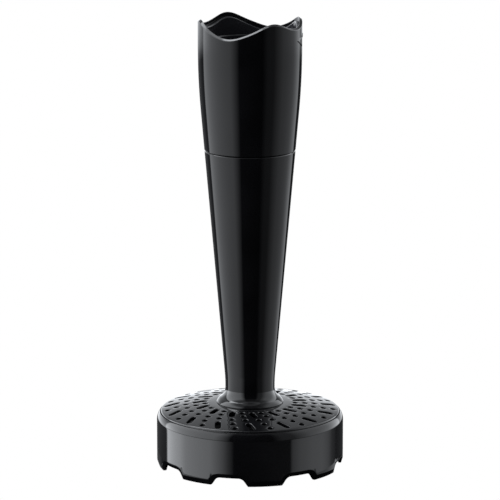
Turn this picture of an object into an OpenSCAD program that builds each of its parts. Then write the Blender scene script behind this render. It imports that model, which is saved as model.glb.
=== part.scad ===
// Masher attachment for a stick blender: a perforated foot, a tapered shaft housing
// and a two-stage reduction gearbox with an open coupling socket on top.
// Frame: origin at the centre of the feet, +Z up, -Y towards the wide scallop of the rim.
// Azimuths in comments are measured from -Y towards +X.

/* [Foot] */
// Outer radius of the foot ring
foot_r = 48.1; // [40:0.1:58]
// Wall of the foot ring
foot_wall = 2.4; // [2:0.1:3.4]
// Height of the crease between the shoulder and the sieve
crease_h = 27.9; // [24:0.1:36]
// Radius of the shoulder's rounding
shoulder_r = 6.7; // [5:0.1:9]
// Angle of the shoulder's arc
shoulder_angle = 42.4; // [35:0.1:60]
// Number of feet under the ring
feet = 8; // [6:1:10]
// Share of one pitch that a foot fills
foot_share = 0.465; // [0.3:0.005:0.6]
// Height of the gaps between the feet
notch_h = 4.2; // [2:0.1:6]
// Azimuth of one foot's centre
foot_azimuth = 35; // [0:0.1:45]

/* [Sieve] */
// Thickness of the sieve
sieve_t = 2; // [1.6:0.1:3]
// Fall of the sieve from its crown to its rim
sieve_fall = 4.3; // [1:0.1:6]
// Height of the sieve's rim above the foot ring's crease
sieve_proud = 0.5; // [0:0.1:1]
// Radius at which the sieve's crown lies
crown_r = 13; // [8:0.1:16]
// Number of rows of holes, two kinds in turn
rows = 30; // [20:2:32]
// Width of a hole or slot
hole_d = 2.95; // [2:0.05:3.2]
// Turn of a row for each millimetre of radius, in degrees
swirl = 0.61; // [0:0.01:1]
// Width of the ledge inside the foot ring that carries the sieve
ledge_w = 1.3; // [1:0.1:1.5]

/* [Shaft housing] */
// Height of the seam between the housing and the gearbox
seam_h = 164.6; // [140:0.1:200]
// Radius of the housing's narrow neck
neck_r = 12.7; // [11.8:0.1:16]
// Height of the top end of the neck
neck_top = 45; // [42:0.1:50]
// Radius of the flared end that stands on the sieve
flare_r = 17.25; // [16:0.05:20]
// Wall of the housing
tube_wall = 2.4; // [2:0.1:2.8]
// Height of the bearing spider inside the housing
spider_h = 138; // [100:1:138]

/* [Gears] */
// Module of both stages
gear_module = 0.7; // [0.6:0.01:0.84]
// Teeth of each sun gear
sun_teeth = 12; // [12:3:15]
// Teeth of each planet gear
planet_teeth = 15; // [15:3:18]
// Face width of a stage
face_w = 6; // [4:0.1:7]
// Half of the play between tooth flanks
flank_play = 0.09; // [0.05:0.01:0.15]
// Ring gear's wall from the tooth roots out
ring_wall = 4.93; // [4.5:0.01:6]
// Thickness of a planet carrier
carrier_t = 3; // [2:0.1:3.4]
// Radius of a planet's pin
pin_r = 1.5; // [1:0.05:1.8]

/* [Shafts] */
// Radius of the drive shaft
shaft_r = 3; // [2.5:0.05:3.6]
// Radius of the input shaft
input_r = 2.5; // [2.2:0.05:3]
// Running clearance of a shaft in its bush
running_gap = 0.03; // [0.02:0.01:0.08]

/* [Gearbox unit] */
// Height of the unit from the seam to the highest point of the rim
unit_h = 67.7; // [62:0.1:80]
// Wall of the unit's casing at the seam
case_wall = 2.7; // [2.2:0.1:3.2]
// Growth in radius from the seam to the top
top_growth = 3.25; // [2.4:0.01:4]
// Radius of the long curve below the rim
top_curve = 386; // [300:1:420]
// Thickness of the rim's lip
lip_t = 1.48; // [1.2:0.01:1.8]
// Depth of the liner's edge below the rim
liner_drop = 2.4; // [1:0.1:4]
// Turn that frees the unit from the housing, in degrees
twist = 30; // [20:1:40]
// Height of the raised index mark's lower edge below the rim's highest point
mark_drop = 13.7; // [10:0.1:20]

/* [Paddle] */
// Reach of the paddle's blades
paddle_r = 42.5; // [30:0.1:42.5]
// Thickness of a blade
blade_t = 2.6; // [2:0.1:4]
// Gap between the blades and the sieve
paddle_gap = 0.7; // [0.4:0.1:2]
// Sweep of a blade from the hub to its tip, in degrees
blade_sweep = 38; // [0:1:60]

/* [Hidden] */
$fn = 72;
eps = 0.01;
fit_gap = 0.1;

// Foot and sieve
foot_in_r = foot_r - foot_wall;
crease_r = foot_r - shoulder_r * (1 - cos(shoulder_angle));
shoulder_z = crease_h - shoulder_r * sin(shoulder_angle);
ledge_z = crease_h - 3.4;
ledge_t = 1.4;
ledge_r = crease_r - ledge_w;
bead_z = ledge_z + 0.5;
bead_h = 1.2;
bead_out = 0.3;
foot_bevel = [1, 2.6];
notch_r = 3.8;
notch_side = 54.6;
crown_z = crease_h + sieve_proud + sieve_fall;
function sieve_z(r) = crown_z - sieve_fall * pow((r - crown_r) / (crease_r - crown_r), 2);
land_z = sieve_z(flare_r);
land_t = 3.4;
land_low = land_z - land_t;
// Hole rows: radii of the round holes, and the two ends of the slot, as shares of the sieve's width
function at(share) = flare_r + share * (crease_r - flare_r);
outer_row_holes = [at(0.209), at(0.378), at(0.544)];
outer_row_slot = [at(0.712), at(0.879)];
inner_row_holes = [at(0.543), at(0.710), at(0.876)];
inner_row_slot = [at(0.214), at(0.378)];
swirl_r = at(0.692);

flare_lip_h = 0.35;
flare_lip_w = 0.45;
bend_r = 6.5;
bend = 60;

// Screws
screw_r = 1.25;
head_r = 2.2;
head_h = 1.4;
small_r = 1.1;
small_head_r = 1.7;
foot_screws_n = 4;
foot_screw_at = 11;
foot_screw_top = land_z + 5.6;

// Lower seal and bush
washer_in_r = shaft_r + 1.2;
seal_r = shaft_r + 4;
washer_t = 1;
seal_t = 5;
washer_z = land_z;
lip_z = washer_z + washer_t;
lower_bush_z = lip_z + seal_t;
lower_bush_l = 15;
bush_r = shaft_r + 2.5;
web_top = lower_bush_z + lower_bush_l;

// Casing outline
ring_teeth = sun_teeth + 2 * planet_teeth;
dedendum = 1.1;
addendum = 0.8;
ring_root_r = gear_module * (ring_teeth / 2 + dedendum);
ring_r = ring_root_r + ring_wall;
case_bore_r = ring_r + fit_gap;
seam_r = case_bore_r + case_wall;
cone_slope = (seam_r - neck_r) / (seam_h - neck_top);
function cone_r(z) = neck_r + cone_slope * (z - neck_top);
top_r = seam_r + top_growth;
slope_angle = atan(cone_slope);
curve_low_r = top_r - top_curve * (1 - cos(slope_angle));
curve_low_z = neck_top + (curve_low_r - neck_r) / cone_slope;
curve_top_z = curve_low_z + top_curve * sin(slope_angle);
seam_gap = 0.25;
unit_z = seam_h + seam_gap;
rim_top = seam_h + unit_h;

// Rim wave: its mean depth below the highest peak, and its parts with 2 to 10 waves round the rim
rim_depth = 3.2;
wave_2 = -2.23;
wave_4 = -2.43;
wave_6 = 0.44;
wave_8 = 0.08;
wave_10 = -0.17;

// Bayonet between the housing and the gearbox
spigot_l = 12.8;
bayonet_bore = case_bore_r - 0.2;
spigot_r = bayonet_bore - fit_gap;
spigot_in_r = spigot_r - 2.6;
spigot_z = seam_h - spigot_l;
bore_z = spigot_z - 0.6;
lug_out = 1;
lug_h = 2.4;
lug_angle = 18;
lug_z = seam_h - 6.9;
lugs = 3;
track_gap = 0.25;
oring_r = 0.65;
oring_z = spigot_z + 2.4;

// Spider and upper bush
spider_seat_r = cone_r(spider_h) - tube_wall + 0.8;
spider_t = 4;
spider_ring = 1.7;
spider_arm = 3.2;
upper_bush_r = shaft_r + 1.6;
upper_bush_l = 12;
upper_bush_z = spider_h - (upper_bush_l - spider_t) / 2;
clip_t = 1;
clip_out = 0.6;

// Gear stack, from the floor of the unit upwards
axial_gap = 0.4;
floor_top = unit_z + 3.35;
carrier_2_z = floor_top + axial_gap;
stage_2_z = carrier_2_z + carrier_t + axial_gap;
carrier_1_z = stage_2_z + face_w + 0.6;
stage_1_z = carrier_1_z + carrier_t + axial_gap;
ring_top = stage_1_z + face_w + 0.6;
gasket_t = 0.6;
plate_z = ring_top + gasket_t;
plate_t = 4;
plate_top = plate_z + plate_t;
boss_h = 3;
input_bush_r = input_r + 2;
input_seal_r = input_r + 3.5;
input_boss_r = input_seal_r + 1.6;
screw_boss_r = 2.6;
liner_z = plate_top + boss_h;
liner_t = 2.5;
liner_floor = liner_z + liner_t;
coupling_z = liner_floor + 0.8;
coupling_h = 10;
coupling_r = input_r + 2.3;
lobe_at = input_r + 3.3;
lobe_r = 1.45;
lobes = 6;
seat_low = coupling_z + coupling_h + 0.7;
seat_l = 10;
seat_high = seat_low + seat_l;
step_z = liner_z + 11;
pitch_r = gear_module * (sun_teeth + planet_teeth) / 2;
carrier_r = pitch_r + 4;
output_hub_r = shaft_r + 3;
output_bush_r = output_hub_r + 2;
output_boss_z = unit_z - 4.65;
post_at = ring_root_r + 3.13;
post_r = 2.2;
posts = 4;
pin_head_r = pin_r + 0.7;
pin_head_t = 0.35;
planets = 3;
input_clip_z = ring_top - 0.2;
input_clip_t = 0.6;

// Liner and casing bore above the gears
liner_low_r = top_r - 2.48;
lip_in_r = top_r - lip_t;
seat_r = lip_in_r - 2;
mouth_r = seat_r + 0.4;
well_r = seat_r - 1;
liner_screws_n = 3;
liner_screw_at = well_r - 5.6;
mark_out = 0.35;
mark_h = 8;
mark_azimuth = [95, 113];

// Shaft ends and paddle
shaft_low = 17.5;
shaft_clip_z = upper_bush_z + upper_bush_l + 0.3;
shaft_clip_t = 0.8;
groove_depth = 0.4;
cross_pin_z = 23;
cross_pin_l = 3.2 * shaft_r;
cross_pin_r = 1;
hex_af = 1.63 * shaft_r;
hex_low = unit_z - 6.65;
socket_r = shaft_r + 1.2;
hub_r = shaft_r + 5.5;
hub_low = 13.5;
hub_top = land_low - paddle_gap;
tip_low = 18;

black = [0.03, 0.03, 0.035];
graphite = [0.12, 0.12, 0.13];
steel = [0.62, 0.63, 0.65];
bronze = [0.66, 0.47, 0.24];
ivory = [0.86, 0.84, 0.76];
rubber = [0.07, 0.07, 0.07];

// ---------- shapes shared by several pieces ----------

// Points of an arc about (cx, cy) from angle a0 to a1
function arc(cx, cy, r, a0, a1, n = 10) =
    [for (i = [0:n]) let (a = a0 + (a1 - a0) * i / n) [cx + r * cos(a), cy + r * sin(a)]];

// Upright cylinder between two heights
module cylinder_at(r, z0, z1) { translate([0, 0, z0]) cylinder(r = r, h = z1 - z0); }

// Round tube between two radii and two heights
module tube(r_in, r_out, z0, z1) {
    translate([0, 0, z0])
        difference() {
            cylinder(r = r_out, h = z1 - z0);
            translate([0, 0, -1]) cylinder(r = r_in, h = z1 - z0 + 2);
        }
}

// Part of a tube between two azimuths less than 90 degrees apart
module sector(r_in, r_out, z0, z1, a0, a1) {
    reach = 2 * r_out;
    intersection() {
        tube(r_in, r_out, z0, z1);
        translate([0, 0, z0])
            linear_extrude(z1 - z0)
                polygon([[0, 0], reach * [sin(a0), -cos(a0)], reach * [sin(a1), -cos(a1)]]);
    }
}

// Copies turned about the axis; the first one at the given azimuth
module around(n, azimuth = 0) {
    for (i = [0:n - 1]) rotate([0, 0, azimuth + 360 * i / n]) children();
}

// Screw with a flat round head: the head's outer face at z = 0, the shank upwards
module screw(r, length, head_r, head_h) {
    cylinder(r = head_r, h = head_h);
    cylinder(r = r - 0.02, h = length);
}

// Snap ring with a gap, for a groove
module snap_ring(r_in, r_out, z, t, gap = 2.4) {
    difference() {
        tube(r_in, r_out, z, z + t);
        translate([-gap / 2, 0, z - 1]) cube([gap, r_out + 1, t + 2]);
    }
}

// ---------- rim wave ----------

// Height of the rim over the azimuth: four rounded peaks, wide low scallops
// at front and back, and narrower, higher ones at the sides
function rim_z(a) =
    rim_top - rim_depth + wave_2 * cos(2 * a) + wave_4 * cos(4 * a) + wave_6 * cos(6 * a)
        + wave_8 * cos(8 * a) + wave_10 * cos(10 * a);

// Everything above the rim wave lowered by drop, as a ring-shaped block
module above_wave(drop) {
    n = 120;
    inner = 10;
    outer = 1.3 * top_r;
    top = rim_top + 10;
    function corner(r, i, z) = [r * sin(360 * i / n), -r * cos(360 * i / n), z];
    pts = [for (i = [0:n - 1]) let (low = rim_z(360 * i / n) - drop)
        each [corner(inner, i, low), corner(outer, i, low), corner(outer, i, top), corner(inner, i, top)]];
    function quad(i, a, b) = let (p = 4 * i, q = 4 * ((i + 1) % n))
        [[p + a, p + b, q + b], [p + a, q + b, q + a]];
    polyhedron(points = pts,
        faces = [for (i = [0:n - 1], side = [0:3]) each quad(i, side, (side + 1) % 4)]);
}

// ---------- gear teeth ----------

pressure = 25;
function inv(a) = tan(a) * 180 / PI - a;
// Half angle that a tooth fills at radius r; play is positive for a thinner tooth
function half_tooth(teeth, r, play) =
    let (pitch = gear_module * teeth / 2, base = pitch * cos(pressure))
    90 / teeth + inv(pressure) - inv(acos(min(1, base / r))) - play / pitch * 180 / PI;
// Outline of a spur gear with involute flanks between two radii
function gear_outline(teeth, r_root, r_tip, play, steps = 4) =
    let (base = gear_module * teeth / 2 * cos(pressure), low = max(base, r_root))
    [for (i = [0:teeth - 1]) let (c = 360 * i / teeth) each concat(
        [let (a = c - half_tooth(teeth, low, play)) r_root * [cos(a), sin(a)]],
        [for (k = [0:steps]) let (r = low + (r_tip - low) * k / steps, a = c - half_tooth(teeth, r, play))
            r * [cos(a), sin(a)]],
        [for (k = [steps:-1:0]) let (r = low + (r_tip - low) * k / steps, a = c + half_tooth(teeth, r, play))
            r * [cos(a), sin(a)]],
        [let (a = c + half_tooth(teeth, low, play)) r_root * [cos(a), sin(a)]])];

module spur_gear(teeth, z, h, bore_r) {
    translate([0, 0, z])
        difference() {
            linear_extrude(h)
                polygon(gear_outline(teeth, gear_module * (teeth / 2 - dedendum),
                    gear_module * (teeth / 2 + addendum), flank_play));
            translate([0, 0, -1]) cylinder(r = bore_r, h = h + 2);
        }
}

// ---------- foot and sieve ----------

module notch_2d() {
    half = foot_in_r * sin(180 / feet * (1 - foot_share)) + 0.25;
    rise = notch_h - notch_r * (1 - cos(notch_side));
    arc_x = half - rise / tan(notch_side) - notch_r * sin(notch_side);
    right = concat([[half + 1 / tan(notch_side), -1]],
        arc(arc_x, notch_h - notch_r, notch_r, 90 - notch_side, 90, 6));
    polygon(concat(right, [for (i = [len(right) - 1:-1:0]) [-right[i][0], right[i][1]]]));
}

// Bead round the sieve's rim that snaps into a groove of the foot ring
module snap_bead(out) {
    rotate_extrude()
        polygon([[crease_r - eps, bead_z], [crease_r, bead_z], [crease_r + out, bead_z + out],
            [crease_r + out, bead_z + bead_h - out], [crease_r, bead_z + bead_h],
            [crease_r - eps, bead_z + bead_h]]);
}

module foot_ring() {
    color(black)
        difference() {
            rotate_extrude()
                polygon(concat(
                    [[foot_in_r, 0], [foot_r - foot_bevel[0], 0], [foot_r, foot_bevel[1]]],
                    arc(foot_r - shoulder_r, shoulder_z, shoulder_r, 0, shoulder_angle),
                    [[crease_r, ledge_z], [ledge_r, ledge_z], [ledge_r, ledge_z - ledge_t],
                    [foot_in_r, ledge_z - ledge_t - (foot_in_r - ledge_r)]]));
            snap_bead(bead_out + 0.05);
            around(feet, foot_azimuth + 180 / feet)
                translate([0, 4 - foot_in_r, 0])
                    rotate([90, 0, 0]) linear_extrude(foot_wall + 8) notch_2d();
        }
}

// Slot between two radii of one swirled row
module slot_2d(r0, r1) {
    a0 = swirl * (r0 - swirl_r);
    a1 = swirl * (r1 - swirl_r);
    p0 = r0 * [sin(a0), -cos(a0)];
    p1 = r1 * [sin(a1), -cos(a1)];
    run = norm(p1 - p0);
    translate(p0)
        rotate(atan2(p1[1] - p0[1], p1[0] - p0[0])) {
            circle(d = hole_d, $fn = 32);
            translate([run, 0]) circle(d = hole_d, $fn = 32);
            translate([0, -hole_d / 2]) square([run, hole_d]);
        }
}

module hole_2d(r) {
    a = swirl * (r - swirl_r);
    translate(r * [sin(a), -cos(a)]) circle(d = hole_d, $fn = 32);
}

module sieve_dome() {
    steps = 9;
    curve = [for (i = [0:steps]) flare_r + (crease_r - flare_r) * i / steps];
    under = [for (i = [steps - 1:-1:0]) [curve[i], sieve_z(curve[i]) - sieve_t]];
    color(black)
        difference() {
            union() {
                rotate_extrude()
                    polygon(concat([[washer_in_r, land_z]], [for (r = curve) [r, sieve_z(r)]],
                        [[crease_r, ledge_z], [ledge_r, ledge_z], [ledge_r, sieve_z(ledge_r) - sieve_t]],
                        under, [[flare_r, land_low], [washer_in_r, land_low]]));
                snap_bead(bead_out);
            }
            translate([0, 0, ledge_z - 1])
                linear_extrude(crown_z - ledge_z + 2) {
                    around(rows / 2) {
                        for (r = outer_row_holes) hole_2d(r);
                        slot_2d(outer_row_slot[0], outer_row_slot[1]);
                    }
                    around(rows / 2, 360 / rows) {
                        for (r = inner_row_holes) hole_2d(r);
                        slot_2d(inner_row_slot[0], inner_row_slot[1]);
                    }
                }
            around(foot_screws_n, 45)
                translate([0, -foot_screw_at, land_low - 1]) {
                    cylinder(r = screw_r + 0.1, h = land_t + 2);
                    cylinder(r = head_r + fit_gap, h = head_h + 1);
                }
        }
}

module foot_screws() {
    color(steel)
        around(foot_screws_n, 45)
            translate([0, -foot_screw_at, land_low])
                screw(screw_r, foot_screw_top - land_low - 0.3, head_r, head_h);
}

// ---------- shaft housing ----------

module shaft_housing() {
    flare = [[flare_r, land_z], [flare_r, land_z + flare_lip_h],
        [flare_r - flare_lip_w, land_z + flare_lip_h + 0.75]];
    neck_low = neck_top - 4.5;
    inner_low = cone_r(web_top) - tube_wall;
    inner_high = cone_r(spider_h) - tube_wall;
    color(black)
        difference() {
            rotate_extrude()
                polygon(concat([[seal_r, land_z]], flare,
                    arc(neck_r + bend_r, neck_low, bend_r, 180 + bend, 180, 6),
                    [[neck_r, neck_top], [cone_r(seam_h - 0.4), seam_h - 0.4], [seam_r - 0.4, seam_h],
                    [bayonet_bore, seam_h], [bayonet_bore, bore_z], [spider_seat_r, bore_z],
                    [spider_seat_r, spider_h], [inner_high, spider_h], [inner_low, web_top],
                    [bush_r, web_top], [bush_r, lower_bush_z], [seal_r, lower_bush_z]]));
            tube(spider_seat_r - 1, spider_seat_r + clip_out, spider_h + spider_t, spider_h + spider_t + clip_t);
            around(foot_screws_n, 45)
                translate([0, -foot_screw_at, land_z - 1]) cylinder(r = screw_r, h = foot_screw_top - land_z + 1);
            around(lugs) {
                track_r = spigot_r + lug_out + track_gap;
                sector(bayonet_bore - 1, track_r, lug_z - track_gap, lug_z + lug_h + track_gap,
                    -lug_angle / 2 - 1, lug_angle / 2 + twist + 1);
                sector(bayonet_bore - 1, track_r, lug_z - track_gap, seam_h + 1,
                    twist - lug_angle / 2 - 1, twist + lug_angle / 2 + 1);
            }
        }
}

module seal_washer() { color(steel) tube(washer_in_r, seal_r, washer_z, washer_z + washer_t); }

module lip_seal() {
    inner = shaft_r + running_gap;
    color(rubber)
        rotate_extrude()
            polygon([[inner, lip_z + 0.6], [inner + 0.6, lip_z + 1.6], [inner + 1.1, lip_z + seal_t - 1.2],
                [inner, lip_z + seal_t - 0.6], [inner, lip_z + seal_t], [seal_r, lip_z + seal_t],
                [seal_r, lip_z], [inner + 1.4, lip_z]]);
}

module lower_bush() {
    color(bronze) tube(shaft_r + running_gap, bush_r, lower_bush_z, web_top);
}

module bearing_spider() {
    hub = shaft_r + 4;
    color(graphite) {
        difference() {
            union() {
                tube(spider_seat_r - spider_ring, spider_seat_r, spider_h, spider_h + spider_t);
                cylinder_at(hub, upper_bush_z, upper_bush_z + upper_bush_l);
                around(3, 60)
                    translate([-spider_arm / 2, -(spider_seat_r - spider_ring / 2), spider_h])
                        cube([spider_arm, spider_seat_r - spider_ring / 2, spider_t]);
            }
            cylinder_at(upper_bush_r, upper_bush_z - 1, upper_bush_z + upper_bush_l + 1);
        }
    }
}

module spider_clip() {
    color(steel)
        snap_ring(spider_seat_r - 1, spider_seat_r + clip_out, spider_h + spider_t, clip_t, 6);
}

module upper_bush() {
    color(bronze)
        tube(shaft_r + running_gap, upper_bush_r, upper_bush_z, upper_bush_z + upper_bush_l);
}

// ---------- gearbox unit ----------

module gearbox_housing() {
    curve = arc(top_r - top_curve, curve_top_z, top_curve, -slope_angle, 0, 8);
    color(black)
        difference() {
            union() {
                rotate_extrude()
                    polygon(concat([[output_bush_r, output_boss_z], [output_bush_r + 2.5, output_boss_z],
                        [output_bush_r + 2.5, unit_z], [spigot_in_r, unit_z], [spigot_in_r, spigot_z],
                        [spigot_r, spigot_z], [spigot_r, oring_z - oring_r - 0.1],
                        [spigot_r - 2 * oring_r + 0.05, oring_z - oring_r - 0.1],
                        [spigot_r - 2 * oring_r + 0.05, oring_z + oring_r + 0.1],
                        [spigot_r, oring_z + oring_r + 0.1], [spigot_r, unit_z],
                        [seam_r - 0.2, unit_z], [cone_r(unit_z + 0.2), unit_z + 0.2]],
                        curve, [[top_r, rim_top + 1], [lip_in_r, rim_top + 1], [lip_in_r, step_z],
                        [liner_low_r, step_z], [liner_low_r, liner_z], [case_bore_r, liner_z],
                        [case_bore_r, floor_top], [output_bush_r, floor_top]]));
                around(lugs)
                    sector(spigot_r - 0.5, spigot_r + lug_out, lug_z, lug_z + lug_h, -lug_angle / 2, lug_angle / 2);
                intersection() {
                    cylinder_at(case_bore_r + 0.5, floor_top - 1, ring_top);
                    around(posts, 45) translate([0, -post_at, floor_top - 1]) cylinder(r = post_r, h = ring_top);
                }
            }
            above_wave(0);
            around(posts, 45)
                translate([0, -post_at, ring_top - 9]) cylinder(r = small_r, h = 10);
        }
}

module spigot_seal() {
    color(rubber)
        rotate_extrude()
            translate([spigot_r + 0.05 - oring_r, oring_z]) circle(r = oring_r, $fn = 24);
}

module output_bush() {
    color(bronze) tube(output_hub_r + running_gap, output_bush_r, output_boss_z, floor_top);
}

module ring_gear() {
    color(graphite)
        translate([0, 0, floor_top])
            difference() {
                cylinder(r = ring_r, h = ring_top - floor_top);
                translate([0, 0, -1])
                    rotate([0, 0, -90]) linear_extrude(ring_top - floor_top + 2)
                        polygon(gear_outline(ring_teeth, gear_module * (ring_teeth / 2 - addendum),
                            ring_root_r, -flank_play));
                around(posts, 45)
                    translate([0, -post_at, -1]) cylinder(r = post_r + 0.05, h = ring_top - floor_top + 2);
                around(posts, 45)
                    translate([-post_r - 0.05, -post_at - 2 * post_r, -1])
                        cube([2 * post_r + 0.1, 2 * post_r, ring_top - floor_top + 2]);
            }
}

module post_holes(r, z0, z1) {
    around(posts, 45) translate([0, -post_at, z0]) cylinder(r = r, h = z1 - z0);
}

module plate_gasket() {
    color(rubber)
        difference() {
            tube(ring_root_r + 0.3, ring_r, ring_top, plate_z);
            post_holes(small_r + 0.2, ring_top - 1, plate_z + 1);
        }
}

module input_plate() {
    color(graphite)
        difference() {
            union() {
                cylinder_at(ring_r, plate_z, plate_top);
                cylinder_at(input_boss_r, plate_top - 1, liner_z);
                around(liner_screws_n)
                    translate([0, -liner_screw_at, plate_top - 1]) cylinder(r = screw_boss_r, h = boss_h + 1);
            }
            cylinder_at(input_bush_r, plate_z - 1, plate_top + 1);
            cylinder_at(input_seal_r, plate_top, liner_z + 1);
            post_holes(small_r + 0.1, plate_z - 1, plate_top + 1);
            around(liner_screws_n)
                translate([0, -liner_screw_at, plate_top - 2]) cylinder(r = small_r, h = boss_h + 3);
        }
}

module plate_screws() {
    color(steel)
        around(posts, 45)
            translate([0, -post_at, plate_top + head_h])
                mirror([0, 0, 1]) screw(small_r, plate_t + gasket_t + head_h + 8.5, small_head_r, head_h);
}

module input_bush() { color(bronze) tube(input_r + running_gap, input_bush_r, plate_z, plate_top); }

module input_seal() {
    inner = input_r + running_gap;
    color(rubber)
        rotate_extrude()
            polygon([[inner, plate_top + 1.2], [inner + 0.9, plate_top + 0.4], [inner + 0.9, plate_top],
                [input_seal_r, plate_top], [input_seal_r, liner_z], [inner, liner_z]]);
}

module socket_liner() {
    color(black)
        difference() {
            rotate_extrude()
                polygon([[input_r + 0.9, liner_z], [liner_low_r, liner_z], [liner_low_r, step_z],
                    [lip_in_r, step_z], [lip_in_r, rim_top + 1], [mouth_r, rim_top + 1],
                    [mouth_r, seat_high], [seat_r, seat_high], [seat_r, seat_low], [well_r, seat_low],
                    [well_r, liner_floor], [input_r + 0.9, liner_floor]]);
            above_wave(liner_drop);
            around(liner_screws_n)
                translate([0, -liner_screw_at, liner_z - 1]) cylinder(r = small_r + 0.1, h = liner_t + 2);
        }
}

module liner_screws() {
    color(steel)
        around(liner_screws_n)
            translate([0, -liner_screw_at, liner_floor + head_h])
                mirror([0, 0, 1]) screw(small_r, liner_t + boss_h + head_h + 1.5, small_head_r, head_h);
}

module index_mark() {
    color(graphite)
        sector(top_r, top_r + mark_out, rim_top - mark_drop, rim_top - mark_drop + mark_h,
            mark_azimuth[0], mark_azimuth[1]);
}

// ---------- drive: output carrier and drive shaft ----------

module drive_shaft() {
    color(steel)
        difference() {
            union() {
                cylinder_at(shaft_r, shaft_low, hex_low);
                translate([0, 0, hex_low])
                    cylinder(r = (hex_af - 0.1) / 2 / cos(30), h = stage_2_z - 0.6 - hex_low, $fn = 6);
            }
            translate([0, 0, cross_pin_z])
                rotate([0, 90, 0]) cylinder(r = cross_pin_r, h = 4 * shaft_r, center = true);
            tube(shaft_r - groove_depth, shaft_r + 1, shaft_clip_z, shaft_clip_z + shaft_clip_t);
        }
}

module shaft_clip() {
    color(steel) snap_ring(shaft_r - groove_depth, shaft_r + 2, shaft_clip_z, shaft_clip_t);
}

module cross_pin() {
    color(steel)
        translate([0, 0, cross_pin_z])
            rotate([0, 90, 0]) cylinder(r = cross_pin_r, h = cross_pin_l, center = true);
}

module output_socket() {
    color(bronze)
        difference() {
            cylinder_at(socket_r, hex_low + 1, carrier_2_z + carrier_t);
            translate([0, 0, hex_low]) cylinder(r = hex_af / 2 / cos(30), h = 40, $fn = 6);
        }
}

module thrust_washer() {
    color(steel) tube(output_hub_r, output_hub_r + 4, floor_top + 0.05, carrier_2_z);
}

// Planet carrier's disc with a centre hole and three pin holes
module carrier_disc(z, centre_r) {
    difference() {
        cylinder_at(carrier_r, z, z + carrier_t);
        cylinder_at(centre_r, z - 1, z + carrier_t + 1);
        around(planets) translate([0, -pitch_r, z - 1]) cylinder(r = pin_r, h = carrier_t + 2);
    }
}

module carrier_2() {
    color(steel) {
        carrier_disc(carrier_2_z, socket_r);
        tube(socket_r, output_hub_r, hex_low + 1, carrier_2_z);
    }
}

module planet_pins(z, stage_z) {
    head_z = stage_z + face_w + 0.1;
    color(steel)
        around(planets)
            translate([0, -pitch_r, 0]) {
                cylinder_at(pin_r, z + 0.2, head_z);
                cylinder_at(pin_head_r, head_z, head_z + pin_head_t);
            }
}

module planet_pins_2() { planet_pins(carrier_2_z, stage_2_z); }
module planet_pins_1() { planet_pins(carrier_1_z, stage_1_z); }

module carrier_1() { color(steel) carrier_disc(carrier_1_z, input_r - 0.5); }

module sun_2() {
    color(steel) {
        rotate([0, 0, -90]) spur_gear(sun_teeth, stage_2_z, carrier_1_z - stage_2_z, 1);
        tube(1, input_r - 0.5, carrier_1_z - eps, carrier_1_z + carrier_t);
    }
}

// Planet with its pin's bore; one tooth points away from the axis
module planet(azimuth, z) {
    color(ivory)
        rotate([0, 0, azimuth])
            translate([0, -pitch_r, 0])
                rotate([0, 0, -90]) spur_gear(planet_teeth, z, face_w, pin_r + running_gap);
}

module planet_1a() { planet(0, stage_1_z); }
module planet_1b() { planet(120, stage_1_z); }
module planet_1c() { planet(240, stage_1_z); }
module planet_2a() { planet(0, stage_2_z); }
module planet_2b() { planet(120, stage_2_z); }
module planet_2c() { planet(240, stage_2_z); }

// ---------- input ----------

module input_shaft() {
    color(steel)
        difference() {
            union() {
                cylinder_at(input_r, stage_1_z + face_w + 0.2, coupling_z + coupling_h - 3);
                cylinder_at(input_r - 0.5, stage_1_z + 0.1, stage_1_z + face_w + 0.3);
            }
            tube(input_r - groove_depth, input_r + 1, input_clip_z, input_clip_z + input_clip_t);
        }
}

module sun_1() { color(steel) rotate([0, 0, -90]) spur_gear(sun_teeth, stage_1_z, face_w, input_r - 0.5); }

module input_clip() { color(steel) snap_ring(input_r - groove_depth, input_r + 1.7, input_clip_z, input_clip_t, 1.8); }

module input_coupling() {
    color(graphite)
        translate([0, 0, coupling_z])
            difference() {
                union() {
                    cylinder(r = coupling_r, h = coupling_h);
                    around(lobes) translate([0, -lobe_at, 0]) cylinder(r = lobe_r, h = coupling_h - 1);
                }
                translate([0, 0, -1]) cylinder(r = input_r, h = coupling_h - 2);
            }
}

// ---------- paddle ----------

module paddle_hub() {
    pin_reach = cross_pin_l / 2 + 0.15;
    pin_half = 24;
    free_turn = 60;
    color(graphite)
        difference() {
            cylinder_at(hub_r, hub_low, hub_top);
            cylinder_at(shaft_r + running_gap, shaft_low - 1, hub_top + 1);
            for (side = [90, 270]) {
                sector(shaft_r - 1, pin_reach, cross_pin_z - cross_pin_r - 0.1, cross_pin_z + cross_pin_r + 0.1,
                    side - free_turn - pin_half, side - 20);
                sector(shaft_r - 1, pin_reach, cross_pin_z - cross_pin_r - 0.1, cross_pin_z + cross_pin_r + 0.1,
                    side - 22, side + pin_half);
                sector(shaft_r - 1, pin_reach, cross_pin_z - cross_pin_r - 0.1, hub_top + 1,
                    side - free_turn - pin_half, side - free_turn + pin_half);
            }
        }
}

module blade_2d() {
    steps = 10;
    start = hub_r - 1.2;
    function turn(r) = blade_sweep * (r - start) / (paddle_r - start);
    side = function(s) [for (i = [0:steps]) let (r = start + (paddle_r - start) * i / steps,
        a = turn(r) + s * asin(blade_t / 2 / r)) r * [sin(a), -cos(a)]];
    right = side(1);
    left = side(-1);
    polygon(concat(right, [for (i = [steps:-1:0]) left[i]]));
}

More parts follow.
